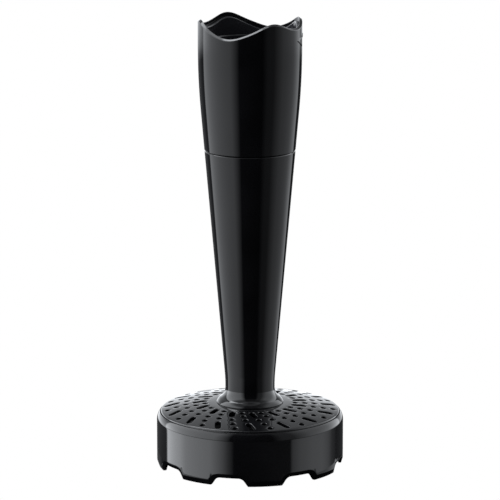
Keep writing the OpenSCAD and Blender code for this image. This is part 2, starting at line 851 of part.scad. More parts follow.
module paddle_blades() {
    knee = flare_r + 1.3;
    steps = 5;
    top = [for (i = [0:steps]) let (r = knee + 1.5 + (paddle_r + 1 - knee - 1.5) * i / steps)
        [r, sieve_z(r) - sieve_t - paddle_gap]];
    color(graphite)
        difference() {
            intersection() {
                rotate_extrude()
                    polygon(concat([[3, hub_low], [3, hub_top], [knee, hub_top]], top,
                        [[paddle_r + 1, tip_low], [hub_r, hub_low]]));
                linear_extrude(crown_z + 10) around(2) blade_2d();
            }
            cylinder_at(hub_r, hub_low - 1, hub_top + 1);
        }
}

foot_ring();
sieve_dome();
foot_screws();
shaft_housing();
seal_washer();
lip_seal();
lower_bush();
bearing_spider();
spider_clip();
upper_bush();
gearbox_housing();
spigot_seal();
output_bush();
ring_gear();
plate_gasket();
input_plate();
plate_screws();
input_bush();
input_seal();
socket_liner();
liner_screws();
index_mark();
drive_shaft();
shaft_clip();
cross_pin();
output_socket();
thrust_washer();
carrier_2();
planet_pins_2();
carrier_1();
planet_pins_1();
sun_2();
input_shaft();
sun_1();
input_clip();
input_coupling();
planet_1a();
planet_1b();
planet_1c();
planet_2a();
planet_2b();
planet_2c();
paddle_hub();
paddle_blades();
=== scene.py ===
"""Masher attachment for a stick blender, finished for the studio.

Azimuths are measured from -Y towards +X, seen from above. Shapes are worked out in millimetres
and put into the meshes in metres.
"""

import math

import bmesh
import bpy
import numpy as np
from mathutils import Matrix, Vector
from mathutils.geometry import delaunay_2d_cdt


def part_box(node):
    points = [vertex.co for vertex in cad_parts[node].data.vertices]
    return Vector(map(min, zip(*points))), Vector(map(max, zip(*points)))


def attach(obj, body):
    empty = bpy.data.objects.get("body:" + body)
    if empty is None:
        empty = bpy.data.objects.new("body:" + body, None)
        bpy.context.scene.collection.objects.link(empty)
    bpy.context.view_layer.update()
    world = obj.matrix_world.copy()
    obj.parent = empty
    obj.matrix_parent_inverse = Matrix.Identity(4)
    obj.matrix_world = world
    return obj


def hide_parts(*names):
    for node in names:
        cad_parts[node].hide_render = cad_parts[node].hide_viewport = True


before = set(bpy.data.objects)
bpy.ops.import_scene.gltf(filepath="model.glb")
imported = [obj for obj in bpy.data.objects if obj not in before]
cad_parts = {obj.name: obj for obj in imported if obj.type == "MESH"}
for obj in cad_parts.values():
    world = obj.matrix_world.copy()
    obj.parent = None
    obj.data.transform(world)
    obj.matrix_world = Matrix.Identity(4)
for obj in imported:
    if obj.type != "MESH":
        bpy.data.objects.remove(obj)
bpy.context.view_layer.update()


# ---------- foot ring ----------
# The skirt that stands in the pan: one ring moulded in gloss-black ABS. Its lower edge is cut
# into eight feet, and a bevel runs along feet and gaps alike. The sieve drops onto its ledge.


def box_mm(node):
    """Lowest and highest corner of a CAD node, in millimetres."""
    low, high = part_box(node)
    return np.array(low) * 1000, np.array(high) * 1000


def on_axis(radius, height, azimuth):
    """Points at x = r sin a, y = -r cos a, z = height, for arrays of any matching shapes."""
    radius, height, azimuth = np.broadcast_arrays(radius, height, azimuth)
    return np.stack([radius * np.sin(azimuth), -radius * np.cos(azimuth), height], axis=-1)


def turn_of(columns):
    """Azimuths of a full turn in equal steps, as one row, in radians."""
    return np.linspace(0, 2 * math.pi, columns, endpoint=False)[None, :]


def grid_quads(rows, columns, closed_rows=False, closed_columns=True, first=0):
    """Corner numbers of the quads between neighbouring rows and columns of a grid of points."""
    down = np.arange(rows if closed_rows else rows - 1)[:, None]
    along = np.arange(columns if closed_columns else columns - 1)[None, :]
    below, beside = (down + 1) % rows, (along + 1) % columns
    quads = np.stack([down * columns + along, down * columns + beside,
                      below * columns + beside, below * columns + along], axis=-1)
    return first + quads.reshape(-1, 4)


def piece_of(name, parts, body, slot_name, material, *stands_for):
    """One smooth piece from (points in mm, corner numbers) parts: doubles merged, faces outward."""
    points = np.concatenate([p.reshape(-1, 3) for p, _ in parts]) / 1000
    counts = np.cumsum([0] + [p.size // 3 for p, _ in parts])
    faces = [f for (_, corners), start in zip(parts, counts) for f in (corners + start).tolist()]
    mesh = bpy.data.meshes.new(name)
    mesh.from_pydata(points.tolist(), [], faces)
    work = bmesh.new()
    work.from_mesh(mesh)
    bmesh.ops.remove_doubles(work, verts=work.verts, dist=2e-6)
    bmesh.ops.recalc_face_normals(work, faces=work.faces)
    work.to_mesh(mesh)
    work.free()
    mesh.shade_smooth()
    mesh.materials.append(material)
    piece = bpy.data.objects.new(name, mesh)
    bpy.context.scene.collection.objects.link(piece)
    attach(piece, body)
    if stands_for:
        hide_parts(*stands_for)
    return piece


def bend(centre, radius, start, end, steps):
    """Points of an arc about a centre, from one angle in degrees to another."""
    angles = np.radians(np.linspace(start, end, steps + 1))
    return np.stack([centre[0] + radius * np.cos(angles), centre[1] + radius * np.sin(angles)], axis=-1)


def new_material(name):
    """Node material with its tree, its shader and the coordinates of the piece itself."""
    material = bpy.data.materials.new(name)
    material.use_nodes = True
    tree = material.node_tree
    place = tree.nodes.new("ShaderNodeTexCoord").outputs["Object"]
    return material, tree, tree.nodes["Principled BSDF"], place


def stretched(tree, place, scale):
    """The coordinates drawn out, so that a pattern is finer along one axis than along another."""
    mapping = tree.nodes.new("ShaderNodeMapping")
    mapping.inputs["Scale"].default_value = scale
    tree.links.new(place, mapping.inputs["Vector"])
    return mapping.outputs["Vector"]


def noise_of(tree, place, scale, detail=3.0, rough=0.5):
    """Noise with so many waves to a metre, as a value from 0 to 1."""
    node = tree.nodes.new("ShaderNodeTexNoise")
    node.inputs["Scale"].default_value = scale
    node.inputs["Detail"].default_value = detail
    node.inputs["Roughness"].default_value = rough
    tree.links.new(place, node.inputs["Vector"])
    return node.outputs["Fac"]


def ranged(tree, value, low, high, from_low=0.3, from_high=0.7):
    """A value drawn out linearly from one range to another, and clamped."""
    node = tree.nodes.new("ShaderNodeMapRange")
    ends = {"From Min": from_low, "From Max": from_high, "To Min": low, "To Max": high}
    for name, number in ends.items():
        node.inputs[name].default_value = number
    tree.links.new(value, node.inputs["Value"])
    return node.outputs["Result"]


def tinted(tree, value, dark, light, shader):
    """The shader's colour runs from dark to light with the value."""
    ramp = tree.nodes.new("ShaderNodeValToRGB")
    for stop, colour in zip(ramp.color_ramp.elements, (dark, light)):
        stop.color = (*colour, 1)
    ramp.color_ramp.elements[0].position = 0.3
    ramp.color_ramp.elements[1].position = 0.7
    tree.links.new(value, ramp.inputs["Fac"])
    tree.links.new(ramp.outputs["Color"], shader.inputs["Base Color"])


def raised(tree, value, depth_mm, strength, shader, under=None):
    """The value stands up from the surface by so many millimetres; under is a bump below this one."""
    bump = tree.nodes.new("ShaderNodeBump")
    bump.inputs["Distance"].default_value = depth_mm / 1000
    bump.inputs["Strength"].default_value = strength
    tree.links.new(value, bump.inputs["Height"])
    if under is not None:
        tree.links.new(under, bump.inputs["Normal"])
    tree.links.new(bump.outputs["Normal"], shader.inputs["Normal"])
    return bump.outputs["Normal"]


def gloss_black(name, rough_low, rough_high, painted_light_lift=1):
    """Polished black ABS: a hint of orange peel, faint wiping haze, fine moulding flow in the
    colour. The last argument makes the colour that many times lighter, as painted light."""
    material, tree, shader, place = new_material(name)
    shader.inputs["IOR"].default_value = 1.5
    shader.inputs["Specular IOR Level"].default_value = 0.5
    haze = noise_of(tree, stretched(tree, place, (1, 1, 0.35)), 90, 4, 0.6)
    tree.links.new(ranged(tree, haze, rough_low, rough_high), shader.inputs["Roughness"])
    dark, light = painted_light_lift * np.array([[0.0035, 0.0035, 0.004], [0.0075, 0.0075, 0.0085]])
    tinted(tree, noise_of(tree, place, 35, 2), dark, light, shader)
    peel = raised(tree, noise_of(tree, place, 420, 1), 0.02, 0.12, shader)
    raised(tree, noise_of(tree, place, 2600, 1), 0.004, 0.1, shader, peel)
    return material


gloss = gloss_black("gloss_black_abs", 0.03, 0.06)

foot_high = box_mm("foot_ring")[1]
foot_r = foot_high[0]
foot_wall = 2.4
foot_in_r = foot_r - foot_wall
crease_z = foot_high[2]
shoulder_r = 6.7
shoulder_angle = 42.4
crease_r = foot_r - shoulder_r * (1 - math.cos(math.radians(shoulder_angle)))
shoulder_z = crease_z - shoulder_r * math.sin(math.radians(shoulder_angle))
ledge_z = crease_z - 3.4
ledge_r = crease_r - 1.3
ledge_low = ledge_z - 1.4


def foot_ring():
    """Ring on a grid of azimuth and of the way round its wall. Its lower edge z(a) is the outline
    of the gaps: flat at 0, up a slope, round an arc to the gap's roof. The wall's outer radius is
    foot_r less a bevel that fades with the distance from that edge."""
    feet, foot_share = 8, 0.465
    first_foot = math.radians(35)
    gap_h, arc_r, side = 4.2, 3.8, math.radians(54.6)
    gap_half = foot_in_r * math.sin(math.pi / feet * (1 - foot_share)) + 0.25
    arc_x = gap_half - (gap_h - arc_r * (1 - math.cos(side))) / math.tan(side) - arc_r * math.sin(side)
    bevel_out, bevel_gap, bevel_foot, bevel_soft = 0.95, 2.0, 2.6, 0.05

    def edge(azimuth):
        """Height of the lower edge, its corners softened over half a millimetre."""
        pitch = 2 * math.pi / feet
        nearest = (azimuth - first_foot) % pitch - pitch / 2
        height = 0
        soft = np.linspace(-0.25, 0.25, 7)
        for shift in soft:
            x = np.abs(foot_r * np.sin(nearest) + shift)
            arc = gap_h - arc_r + np.sqrt(np.clip(arc_r**2 - (x - arc_x) ** 2, 0, None))
            slope = (gap_half - x) * math.tan(side)
            z = np.where(x < arc_x, gap_h, np.where(x < arc_x + arc_r * math.sin(side), arc, slope))
            height = height + np.clip(z, 0, gap_h) / len(soft)
        return height

    per_foot = 124
    azimuth = turn_of(per_foot * feet)
    low = edge(azimuth)
    # the way up the outside: close rows over the bevel, then wider ones to the shoulder
    close = np.array([0, 0.12, 0.35, 0.65, 1.0, 1.4, 1.8, 2.1, 2.4, 2.7, 3.1, 3.6, 4.2])[:, None]
    wide = np.linspace(0, 1, 7)[1:, None]
    z_out = np.concatenate([low + close, (low + close[-1]) * (1 - wide) + shoulder_z * wide])
    fine = np.linspace(-math.pi / feet, 3 * math.pi / feet, 1100)
    edge_x, edge_z = foot_r * fine, edge(fine)
    pitch_x = foot_r * azimuth[0, :per_foot]
    near = z_out[:, :per_foot, None]
    distance = np.sqrt(((pitch_x[None, :, None] - edge_x) ** 2 + (near - edge_z) ** 2).min(axis=2))
    distance = np.tile(distance, (1, feet))
    width = bevel_foot + (bevel_gap - bevel_foot) * np.clip(low / gap_h, 0, 1)
    left = 1 - distance / width
    inset = bevel_out * 0.5 * (left + np.sqrt(left**2 + bevel_soft**2))
    inset = inset * np.clip((shoulder_z - z_out) / 6, 0, 1)
    outside = on_axis(foot_r - inset, z_out, azimuth)

    lip = 0.15
    middle = (foot_r - shoulder_r, shoulder_z)
    lip_angle = math.acos((crease_r + lip - middle[0]) / (shoulder_r - lip))
    lip_at = (crease_r + lip, shoulder_z + (shoulder_r - lip) * math.sin(lip_angle))
    above = np.concatenate([bend(middle, shoulder_r, 0, math.degrees(lip_angle), 12)[1:],
                            bend(lip_at, lip, math.degrees(lip_angle), 180, 6)[1:]])
    inner = np.array([[crease_r, ledge_z + 0.1], [crease_r - 0.1, ledge_z], [ledge_r + 0.2, ledge_z],
                      [ledge_r, ledge_z - 0.2], [ledge_r, ledge_low + 0.1], [ledge_r + 0.1, ledge_low - 0.1],
                      [foot_in_r - 0.1, ledge_low + ledge_r - foot_in_r + 0.1],
                      [foot_in_r, ledge_low + ledge_r - foot_in_r - 0.2]])
    fixed = np.concatenate([above, inner])
    rest = on_axis(fixed[:, :1], fixed[:, 1:], azimuth)
    down = np.concatenate([low + 6, low + 0.5, low + 0.25, low + 0.08, low, low])
    down_r = np.array([0, 0, 0, 0.08, 0.25, 0.5])[:, None] + foot_in_r
    inside = on_axis(down_r, down, azimuth)
    points = np.concatenate([outside, rest, inside])
    return points, grid_quads(*points.shape[:2], closed_rows=True)


piece_of("foot_ring_moulding", [foot_ring()], "root", "gloss_black", gloss, "foot_ring")


# ---------- sieve ----------
# Shallow domed disc in the same gloss black, with rows of round holes and slots that swirl out
# from the housing. The food is pressed through it. It snaps into the foot ring from above.

flare_r = 17.25
sieve_t = 2.0
crown_r = 13.0
sieve_fall = 4.3
sieve_top = crease_z + 0.5 + sieve_fall
hole_r = 1.475


def sieve_z(radius):
    """Height of the dome: a parabola that falls from its crown to the crease."""
    return sieve_top - sieve_fall * ((radius - crown_r) / (crease_r - crown_r)) ** 2


land_z = sieve_z(flare_r)
land_low = land_z - 3.4
screw_at = 11.0
screw_head_r = 2.2


def sieve():
    """Two sheets, the dome and its underside, triangulated between the rims of the holes, and a
    wall of rings down each hole. A ring is its centre line plus an offset along its normal."""
    width = crease_r - flare_r
    swirl = math.radians(0.61)
    rows = 30

    def centre(share, row):
        """Point of a row at a share of the sieve's width; the row turns with the radius."""
        radius = flare_r + share * width
        azimuth = row * 2 * math.pi / rows + swirl * (radius - flare_r - 0.692 * width)
        return np.array([radius * math.sin(azimuth), -radius * math.cos(azimuth)])

    def rim(start, end, radius, steps=10):
        """Centre and outward normal at points round a slot; a round hole starts where it ends."""
        along = end - start
        slotted = np.any(along)
        heading = math.atan2(along[1], along[0]) if slotted else 0.0
        half = heading + np.linspace(-math.pi / 2, math.pi / 2, steps + 1)[0 if slotted else 1:]
        normals, centres = [], []
        for turn, place in ((half, end), (half + math.pi, start)):
            normals.append(np.stack([np.cos(turn), np.sin(turn)], axis=-1))
            centres.append(np.tile(place, (len(turn), 1)))
            if slotted:
                normals.append(normals[-1][-1:])
                centres.append((start + end)[None] / 2)
        return np.concatenate(centres), np.concatenate(normals), radius

    holes = []
    for row in range(rows):
        rounds, slot = ((0.209, 0.378, 0.544), (0.712, 0.879)) if row % 2 == 0 else \
            ((0.543, 0.710, 0.876), (0.214, 0.378))
        holes += [(centre(s, row), centre(s, row), hole_r) for s in rounds]
        holes.append((centre(slot[0], row), centre(slot[1], row), hole_r))
    bores = [(screw_at * np.array([math.sin(a), -math.cos(a)]),) * 2 + (screw_head_r + 0.1,)
             for a in np.radians([45, 135, 225, 315])]

    def clearance(points, wells):
        """Distance of each point from the nearest hole's rim, negative inside a hole."""
        nearest = np.full(len(points), 1e9)
        for start, end, radius in wells:
            along = end - start
            share = 0 if not np.any(along) else np.clip((points - start) @ along / (along @ along), 0, 1)
            foot = start + np.multiply.outer(share, along) if np.any(along) else start
            nearest = np.minimum(nearest, np.linalg.norm(points - foot, axis=1) - radius)
        return nearest

    def sheet(inner_r, outer_r, wells, offset, height, spacing, segments):
        """Triangles between two circles and round the wells' rims, on the surface height(r)."""
        turn = turn_of(segments)[0]
        circles = [np.stack([r * np.sin(turn), -r * np.cos(turn)], axis=-1) for r in (inner_r, outer_r)]
        loops = circles + [c + (r + offset) * n for c, n, r in (rim(*w) for w in wells)]
        count = max(2, round((outer_r - inner_r) / spacing))
        fill = []
        for k in range(1, count):
            radius = inner_r + (outer_r - inner_r) * k / count
            turn = turn_of(round(2 * math.pi * radius / spacing / 1.1))[0] + 0.5 * k
            fill.append(np.stack([radius * np.sin(turn), -radius * np.cos(turn)], axis=-1))
        fill = np.concatenate(fill)
        fill = fill[clearance(fill, wells) > offset + 0.3 * spacing] if wells else fill
        edges, first = [], 0
        for loop in loops:
            ring = np.arange(len(loop))
            edges += np.stack([first + ring, first + np.roll(ring, -1)], axis=-1).tolist()
            first += len(loop)
        flat = np.concatenate([*loops, fill])
        verts, _, faces, *_ = delaunay_2d_cdt([Vector(p) for p in flat.tolist()], edges, [], 0, 1e-6)
        verts, faces = np.array([v[:] for v in verts]), np.array(faces)
        middle = verts[faces].mean(axis=1)
        reach = np.linalg.norm(middle, axis=1)
        keep = (reach > inner_r * 0.9995) & (reach < outer_r)
        if wells:
            keep &= clearance(middle, wells) > offset - 0.05
        radius = np.linalg.norm(verts, axis=1)
        return np.column_stack([verts, height(radius)]), faces[keep]

    def walls(wells, section, top, bottom):
        """Rings down each well. A section point is (offset, part of the way down, drop in mm)."""
        parts = []
        for centres, normals, radius in (rim(*w) for w in wells):
            rings = []
            for offset, share, drop in section:
                flat = centres + (radius + offset) * normals
                reach = np.linalg.norm(flat, axis=1)
                z = top(reach) * (1 - share) + bottom(reach) * share - drop
                rings.append(np.column_stack([flat, z]))
            points = np.stack(rings)
            parts.append((points, grid_quads(*points.shape[:2])))
        return parts

    under_r = flare_r + 0.2
    soft, sharp = 0.3, 0.12
    angles = np.radians([0, 22, 45, 67, 90])
    section = [(soft * (1 - math.sin(a)), 0, soft * (1 - math.cos(a))) for a in angles]
    section += [(0, 1, -sharp), (sharp * 0.3, 1, -sharp * 0.3), (sharp, 1, 0)]

    def underside(radius):
        return sieve_z(radius) - sieve_t

    def land(radius):
        return np.full_like(radius, land_low)

    edge_r, edge_gap, seat_gap = 0.9, 0.08, 0.35
    edge_at = (crease_r - edge_gap - edge_r, float(sieve_z(crease_r - edge_gap - edge_r)))
    parts = [sheet(flare_r + seat_gap, edge_at[0], holes, soft, sieve_z, 1.25, 288),
             sheet(under_r, ledge_r - 0.1, holes, sharp, underside, 1.6, 288),
             sheet(4.2, flare_r - 0.2, bores, sharp, land, 2.2, 96)]
    parts += walls(holes, section, sieve_z, underside)
    bore_section = [(sharp, 0, 0), (0, 0, -sharp), (0, 0, -1.5), (-screw_head_r - 0.1, 0, -1.5)]
    parts += walls(bores, bore_section, land, land)

    turn = turn_of(288)
    fall = math.degrees(math.atan(2 * sieve_fall * (edge_at[0] - crown_r) / (crease_r - crown_r) ** 2))
    heel = math.radians(90 - fall)
    round_at = (edge_at[0] - edge_r * math.cos(heel), edge_at[1] - edge_r * math.sin(heel))
    edge = np.concatenate([
        bend(round_at, edge_r, 90 - fall, 0, 9),
        [[round_at[0] + edge_r, ledge_z + 0.2], [round_at[0] + edge_r - 0.1, ledge_z + 0.02],
         [ledge_r + 0.1, ledge_z + 0.02], [ledge_r, ledge_z + 0.1],
         [ledge_r - 0.02, float(underside(ledge_r)) - 0.1],
         [ledge_r - 0.1, float(underside(ledge_r - 0.1))]]])
    step = np.array([[under_r, float(underside(under_r))], [flare_r, float(underside(flare_r)) - 0.2],
                     [flare_r, land_low + 0.2]])
    parts += [(on_axis(p[:, :1], p[:, 1:], turn), grid_quads(len(p), 288)) for p in (edge, step)]
    join = np.array([[flare_r, land_low + 0.2], [flare_r - 0.2, land_low]])
    coarse = turn_of(96)
    parts.append((on_axis(join[:, :1], join[:, 1:], coarse), grid_quads(2, 96)))
    seat = np.array([[flare_r + seat_gap, float(sieve_z(flare_r + seat_gap))], [flare_r - 0.2, land_z]])
    parts.append((on_axis(seat[:, :1], seat[:, 1:], turn), grid_quads(2, 288)))
    bore = np.array([[flare_r - 0.2, land_z], [4.2, land_z], [4.2, land_low]])
    parts.append((on_axis(bore[:, :1], bore[:, 1:], coarse), grid_quads(3, 96)))
    return parts


piece_of("sieve_moulding", sieve(), "root", "gloss_black", gloss, "sieve_dome")


# ---------- screws ----------
# Turned stainless screws with a domed head and a cross recess. Four hold the sieve to the shaft
# housing from below, three hold the socket liner down on the gearbox.


def steel(name, rough_low, rough_high, marks):
    """Stainless steel with fine tool marks drawn out round the piece or along it."""
    material, tree, shader, place = new_material(name)
    shader.inputs["Metallic"].default_value = 1.0
    marks_value = noise_of(tree, stretched(tree, place, marks), 900, 2, 0.6)
    tree.links.new(ranged(tree, marks_value, rough_low, rough_high), shader.inputs["Roughness"])
    tinted(tree, noise_of(tree, place, 160, 3), (0.44, 0.45, 0.47), (0.62, 0.63, 0.65), shader)
    raised(tree, marks_value, 0.01, 0.25, shader)
    return material


turned_steel = steel("turned_steel", 0.2, 0.36, (0.1, 0.1, 3))


def screw(head_r, head_h, shank_r, length):
    """Screw with its head's top at z = 0 and its shank downwards: rings (r, z) over the turn, where
    the dome's height is lowered by a cross-shaped recess, a smooth step of |x| and |y|."""
    turn = turn_of(48)
    radial = head_r * np.array([0, 0.1, 0.2, 0.3, 0.38, 0.46, 0.54, 0.62, 0.7, 0.8, 0.88, 0.94])[:, None]
    x, y = np.abs(radial * np.sin(turn)), np.abs(radial * np.cos(turn))
    arm, blade = 0.62 * head_r, 0.2 * head_r

    def inside(value, limit):
        return np.clip((limit - value) / 0.12 + 0.5, 0, 1)

    cross = np.maximum(inside(x, arm) * inside(y, blade), inside(y, arm) * inside(x, blade))
    dome = -0.3 * head_h * (radial / head_r) ** 2
    top = np.broadcast_to(dome - 0.55 * head_h * cross, x.shape)
    side = np.array([[0.985, -0.4], [1.0, -0.55], [1.0, -0.93], [0.95, -1.0]]) * [head_r, head_h]
    under = np.array([[shank_r + 0.1, -head_h], [shank_r, -head_h - 0.15], [shank_r, 0.4 - length],
                      [shank_r - 0.3, -length], [0, -length]])
    lower = np.concatenate([side, under])
    lower_r, lower_z = (np.tile(column[:, None], (1, x.shape[1])) for column in lower.T)
    radius = np.concatenate([np.broadcast_to(radial, x.shape), lower_r])
    height = np.concatenate([top, lower_z])
    points = on_axis(radius, height, turn)
    return points, grid_quads(*points.shape[:2])


def screws_at(count, first, radius, height, pointing, screw_part):
    """The same screw at places round the axis; pointing is -1 for a shank upwards."""
    points, quads = screw_part
    placed = []
    for k in range(count):
        azimuth = math.radians(first + 360 * k / count)
        turned = points * [1, pointing, pointing]
        placed.append((turned + [radius * math.sin(azimuth), -radius * math.cos(azimuth), height], quads))
    return placed


foot_screw = screw(screw_head_r, 1.4, 1.25, 8.6)
piece_of("sieve_screws", screws_at(4, 45, screw_at, land_low, -1, foot_screw),
         "root", "steel", turned_steel, "foot_screws")


# ---------- shaft housing ----------
# Slim trumpet-shaped tube in gloss-black ABS between the sieve and the gearbox, flared where it
# stands on the sieve and chamfered at the seam. The drive shaft and its bushes sit inside.


def rounded(corners, steps=5):
    """Closed outline from (r, z, radius) corners: a corner becomes an arc that touches both of its
    sides, and a point a little way along each side keeps the side's shading flat."""
    corners = [np.array(c, float) for c in corners]
    outline = []
    for k, corner in enumerate(corners):
        before, here, after = corners[k - 1][:2], corner[:2], corners[(k + 1) % len(corners)][:2]
        radius = corner[2]
        to_before, to_after = before - here, after - here
        room = min(np.linalg.norm(to_before), np.linalg.norm(to_after))
        to_before, to_after = to_before / np.linalg.norm(to_before), to_after / np.linalg.norm(to_after)
        angle = math.acos(np.clip(to_before @ to_after, -1, 1))
        if radius == 0 or angle > math.radians(179.9):
            outline.append(here)
            continue
        reach = min(radius / math.tan(angle / 2), 0.42 * room)
        radius = reach * math.tan(angle / 2)
        hold = min(0.6 * radius + 0.05, 0.06 * room)
        between = (to_before + to_after) / np.linalg.norm(to_before + to_after)
        centre = here + between * radius / math.sin(angle / 2)
        start, end = here + to_before * reach - centre, here + to_after * reach - centre
        first = math.atan2(start[1], start[0])
        sweep = (math.atan2(end[1], end[0]) - first + math.pi) % (2 * math.pi) - math.pi
        arc = bend(centre, radius, math.degrees(first), math.degrees(first + sweep), steps)
        outline += [here + to_before * (reach + hold), *arc, here + to_after * (reach + hold)]
    return np.array(outline)


def turned(outline, columns):
    """A closed outline of (r, z) carried round the axis."""
    turn = turn_of(columns)
    points = on_axis(outline[:, :1], outline[:, 1:], turn)
    return points, grid_quads(len(outline), columns, closed_rows=True)


seam_z = box_mm("shaft_housing")[1][2]
neck_r, neck_z = 12.7, 45.0
neck_bend_r = 6.5
seam_r = 23.2
cone_slope = (seam_r - neck_r) / (seam_z - neck_z)
bayonet_r = 20.3


def cone_r(height):
    """Outer radius of the housing's cone, which the gearbox's casing goes on."""
    return neck_r + cone_slope * (height - neck_z)


def shaft_housing():
    """Outline of the tube's wall: flared lip, concave bend into the neck, cone, seam chamfer; then
    down inside past the bayonet's bore, the bearing spider's seat and the lower bush."""
    bend_at = (neck_r + neck_bend_r, neck_z - 4.5)
    lip = [(7.0, land_z, 0.1), (flare_r, land_z, 0.12), (flare_r, land_z + 0.45, 0.3),
           (flare_r - 0.45, land_z + 1.1, 0.8)]
    flare = [(*p, 0) for p in bend(bend_at, neck_bend_r, 238, 182, 20)]
    blend = 3.5
    up = np.linspace(-blend, blend, 9)
    flare += [(neck_r + cone_slope * (u + blend) ** 2 / (4 * blend), neck_z + u, 0) for u in up]
    chamfer = 0.42
    cone = [(cone_r(100), 100, 0), (cone_r(seam_z - chamfer), seam_z - chamfer, 0.14),
            (seam_r - chamfer, seam_z, 0.12)]
    spider_z, bore_z, bush_z, web_z = 138, seam_z - 13.4, land_z + 6, land_z + 21
    spider_r = cone_r(spider_z) - 1.6
    inside = [(bayonet_r, seam_z, 0.1), (bayonet_r, bore_z, 0.1), (spider_r, bore_z, 0.1),
              (spider_r, spider_z, 0.1), (spider_r - 0.8, spider_z, 0.1), (cone_r(web_z) - 2.4, web_z, 0.5),
              (5.5, web_z, 0.1), (5.5, bush_z, 0.1), (7.0, bush_z, 0.1)]
    return turned(rounded(lip + flare + cone + inside), 288)


piece_of("shaft_housing_moulding", [shaft_housing()], "root", "gloss_black", gloss, "shaft_housing")


# ---------- gearbox casing ----------
# The unit's outer shell, moulded in the same gloss black. It carries the housing's cone on into
# a long curve and ends in a thin lip that runs round in a wave of four peaks and slopes outwards.

casing_high = box_mm("gearbox_housing")[1]
top_r = casing_high[0]
rim_high = casing_high[2]
unit_z = seam_z + 0.25
lip_in_r = top_r - 1.48
curve_r = 386.0
curve_angle = math.atan(cone_slope)
curve_low_z = neck_z + (top_r - curve_r * (1 - math.cos(curve_angle)) - neck_r) / cone_slope
curve_top_z = curve_low_z + curve_r * math.sin(curve_angle)


def rim_wave(azimuth):
    """Height of the rim above its highest point, so never positive: the sum of waves of 2, 4, 6, 8
    and 10 to the turn."""
    heights = ((2, -2.23), (4, -2.43), (6, 0.44), (8, 0.08), (10, -0.17))
    return -3.2 + sum(height * np.cos(waves * azimuth) for waves, height in heights)


rim_low = rim_high + float(rim_wave(np.zeros(1))[0])


def casing_r(height):
    """Outer radius of the casing: the cone, then an arc that is upright at its top."""
    arc = top_r - curve_r + np.sqrt(curve_r**2 - np.clip(curve_top_z - height, 0, None) ** 2)
    return np.where(height < curve_low_z, cone_r(height), arc)


def waved(outline, columns, foot_z, head_z, rise):
    """A turned outline whose part above foot_z is drawn up with the rim: a point at head_z or
    higher rises by all of rise(a), and one between them by its share."""
    turn = turn_of(columns)
    share = np.clip((outline[:, 1:] - foot_z) / (head_z - foot_z), 0, 1)
    points = on_axis(outline[:, :1], outline[:, 1:] + share * rise(turn), turn)
    return points, grid_quads(len(outline), columns, closed_rows=True)


def rise_of_rim(azimuth):
    """How much higher the rim is than at its lowest valley."""
    return rim_high + rim_wave(azimuth) - rim_low


def gearbox_casing():
    """Outline from the spigot up the outside, over the lip, and down inside past the liner's step
    and the ring gear's bore to the output bush."""
    spigot_z, spigot_r, spigot_in_r = seam_z - 12.8, bayonet_r - 0.1, bayonet_r - 2.7
    liner_r, step_z, liner_z = top_r - 2.48, unit_z + 42.35, unit_z + 31.35
    floor_z, boss_z, ring_gear_r = unit_z + 3.35, unit_z - 4.65, 20.5
    outside = [(spigot_in_r, spigot_z, 0.2), (spigot_r, spigot_z, 0.3), (spigot_r, unit_z, 0.1),
               (float(casing_r(unit_z)) - 0.24, unit_z, 0.1),
               (float(casing_r(unit_z + 0.26)), unit_z + 0.26, 0.1)]
    outside += [(float(casing_r(z)), z, 0) for z in np.linspace(unit_z + 4, curve_top_z, 13)]
    outside += [(top_r, z, 0) for z in (curve_top_z + 1.8, curve_top_z + 3.6)]
    lip = [(top_r, rim_low - 0.9, 0.3), (lip_in_r, rim_low, 0.22), (lip_in_r, curve_top_z + 3.5, 0)]
    inside = [(lip_in_r, step_z, 0.1), (liner_r, step_z, 0.1), (liner_r, liner_z, 0.1),
              (ring_gear_r, liner_z, 0.1), (ring_gear_r, floor_z, 0.2), (8.0, floor_z, 0.1),
              (8.0, boss_z, 0.1), (10.5, boss_z, 0.2), (10.5, unit_z, 0.1), (spigot_in_r, unit_z, 0.2)]
    return waved(rounded(outside + lip + inside), 360, curve_top_z, rim_low - 1.2, rise_of_rim)


piece_of("gearbox_casing", [gearbox_casing()], "gearbox", "gloss_black", gloss, "gearbox_housing")


# ---------- socket liner ----------
# Cup inside the casing that the motor handle plugs into, with the seat that centres it. Its upper
# edge follows the rim's wave a little lower down.

liner_drop = 2.4
liner_floor = unit_z + 33.85
# Painted light: this copy of the gloss black is four times lighter than the casing's, to brighten the inside
# of the socket.
liner_painted_light_gloss = gloss_black("gloss_black_liner_painted_light", 0.06, 0.14, 4)


def socket_liner():
    """Outline of the cup's wall, whose top is drawn up with the rim."""
    out_r, low_r = lip_in_r - 0.03, top_r - 2.51
    seat_r, seat_low, seat_high = lip_in_r - 2, unit_z + 45.35, unit_z + 55.35
    liner_z, step_z, top = unit_z + 31.37, unit_z + 42.33, rim_low - liner_drop
    corners = [(3.4, liner_z, 0.1), (low_r, liner_z, 0.1), (low_r, step_z, 0.1), (out_r, step_z, 0.1),
               (out_r, top, 0.3), (seat_r + 0.4, top, 0.55), (seat_r + 0.4, seat_high + 0.2, 0.1),
               (seat_r, seat_high - 0.2, 0.2), (seat_r, seat_low, 0.2), (seat_r - 1, seat_low - 0.4, 0.2),
               (seat_r - 1, liner_floor, 0.8), (3.4, liner_floor, 0.2)]
    return waved(rounded(corners), 360, seat_high + 0.3, top - 0.9, rise_of_rim)


piece_of("socket_liner_moulding", [socket_liner()], "gearbox", "gloss_black", liner_painted_light_gloss,
         "socket_liner")

liner_screw = screw(1.7, 1.4, 1.1, 8.4)
piece_of("liner_screw_set", screws_at(3, 0, top_r - 10.08, liner_floor + 1.4, 1, liner_screw),
         "gearbox", "steel", turned_steel, "liner_screws")


# ---------- index mark ----------
# A small arrow raised on the casing beside one peak of the rim. It meets its partner on the motor
# handle when the two are locked.


